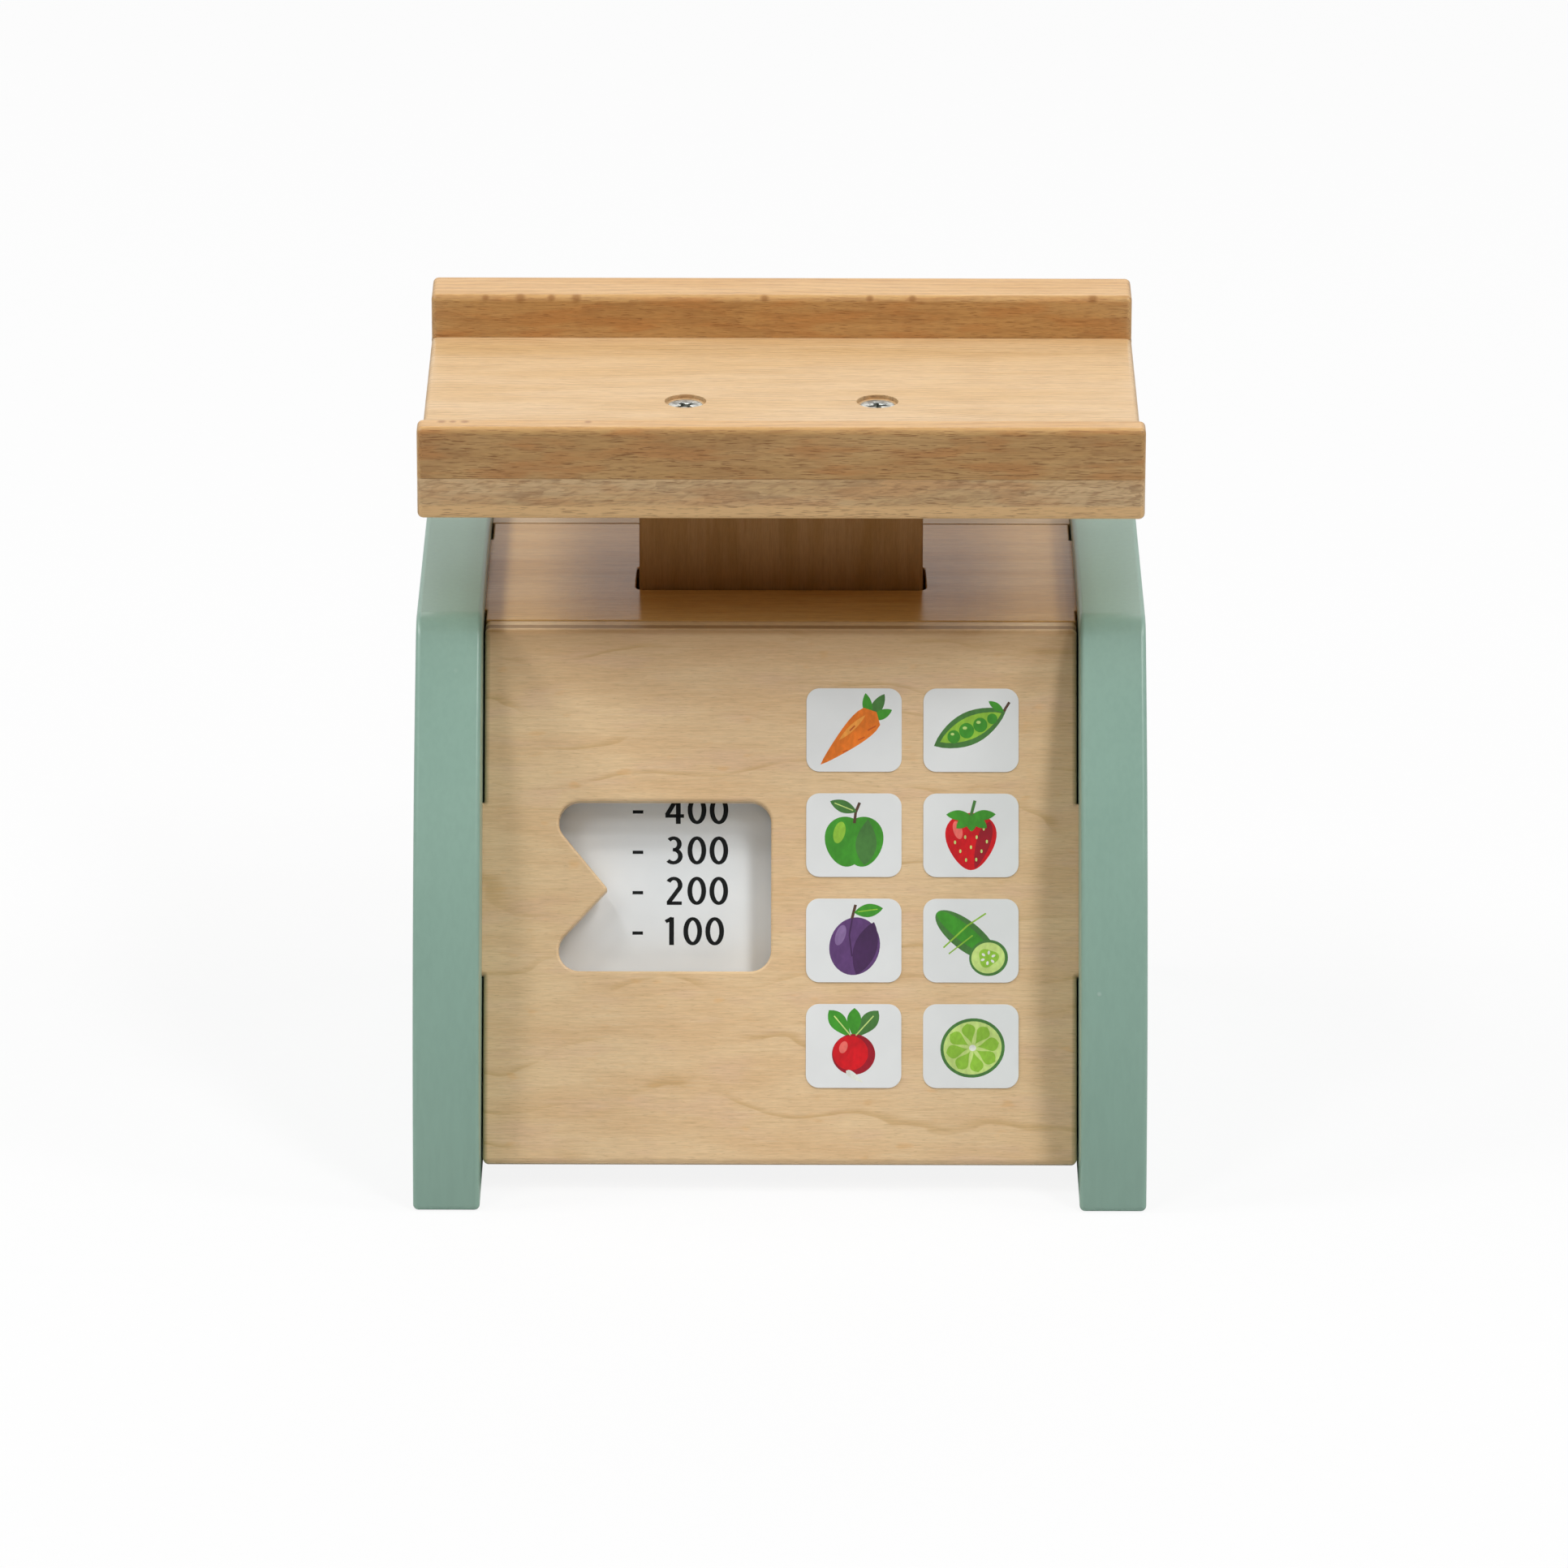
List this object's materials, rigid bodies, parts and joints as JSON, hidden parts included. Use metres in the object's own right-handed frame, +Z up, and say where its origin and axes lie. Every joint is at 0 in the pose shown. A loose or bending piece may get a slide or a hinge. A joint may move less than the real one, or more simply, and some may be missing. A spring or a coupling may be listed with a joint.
{
  "type": "wooden toy shop scale",
  "caption": "Children's wooden shop scale: a lipped tray on a sprung post sinks when pressed, and a numbered card moves past a pointer in a window.",
  "frame": {"origin": "centre of the footprint of the whole toy, on the surface it stands on", "axes": "+Z up, -Y towards the window and stickers, +X to the right seen from the front"},
  "size_m": [0.165, 0.161, 0.1704],
  "materials": {
    "sage_paint": "satin sage green paint on wood",
    "birch_plywood": "clear matt lacquer",
    "birch": "clear matt lacquer",
    "beech": "clear satin lacquer",
    "post_beech": "clear satin lacquer",
    "card": "printed white card",
    "sticker_film": "printed white film",
    "zinc_steel": "bright zinc plate",
    "spring_steel": "drawn wire",
    "felt": "pressed felt"
  },
  "bodies": {
    "housing": {"side_panel_left": "sage_paint", "side_panel_right": "sage_paint", "front_panel": "birch_plywood", "top_panel": "birch", "back_panel": "birch", "base_panel": "birch", "base_dowels": "beech", "back_dowels": "beech", "guide_rod_left": "beech", "guide_rod_right": "beech", "stop_pad": "felt", "spring_left": "spring_steel", "spring_right": "spring_steel", "sticker_carrot": "sticker_film", "sticker_pea_pod": "sticker_film", "sticker_apple": "sticker_film", "sticker_strawberry": "sticker_film", "sticker_plum": "sticker_film", "sticker_cucumber": "sticker_film", "sticker_radish": "sticker_film", "sticker_lime": "sticker_film"},
    "tray": {"tray_board": "beech", "tray_lip_front": "beech", "tray_lip_back": "beech", "tray_post": "post_beech", "tray_screws": "zinc_steel", "indicator_board": "birch_plywood", "scale_card": "card", "indicator_bracket_left": "birch_plywood", "indicator_bracket_right": "birch_plywood"}
  },
  "joints": [
    {"name": "tray_press", "type": "slide", "parent": "housing", "child": "tray", "axis": [0, 0, -1], "range_m": [0, 0.0204], "stiffness_N_per_m": 760, "springref_m": -0.01, "deforming": ["spring_left", "spring_right"]}
  ]
}
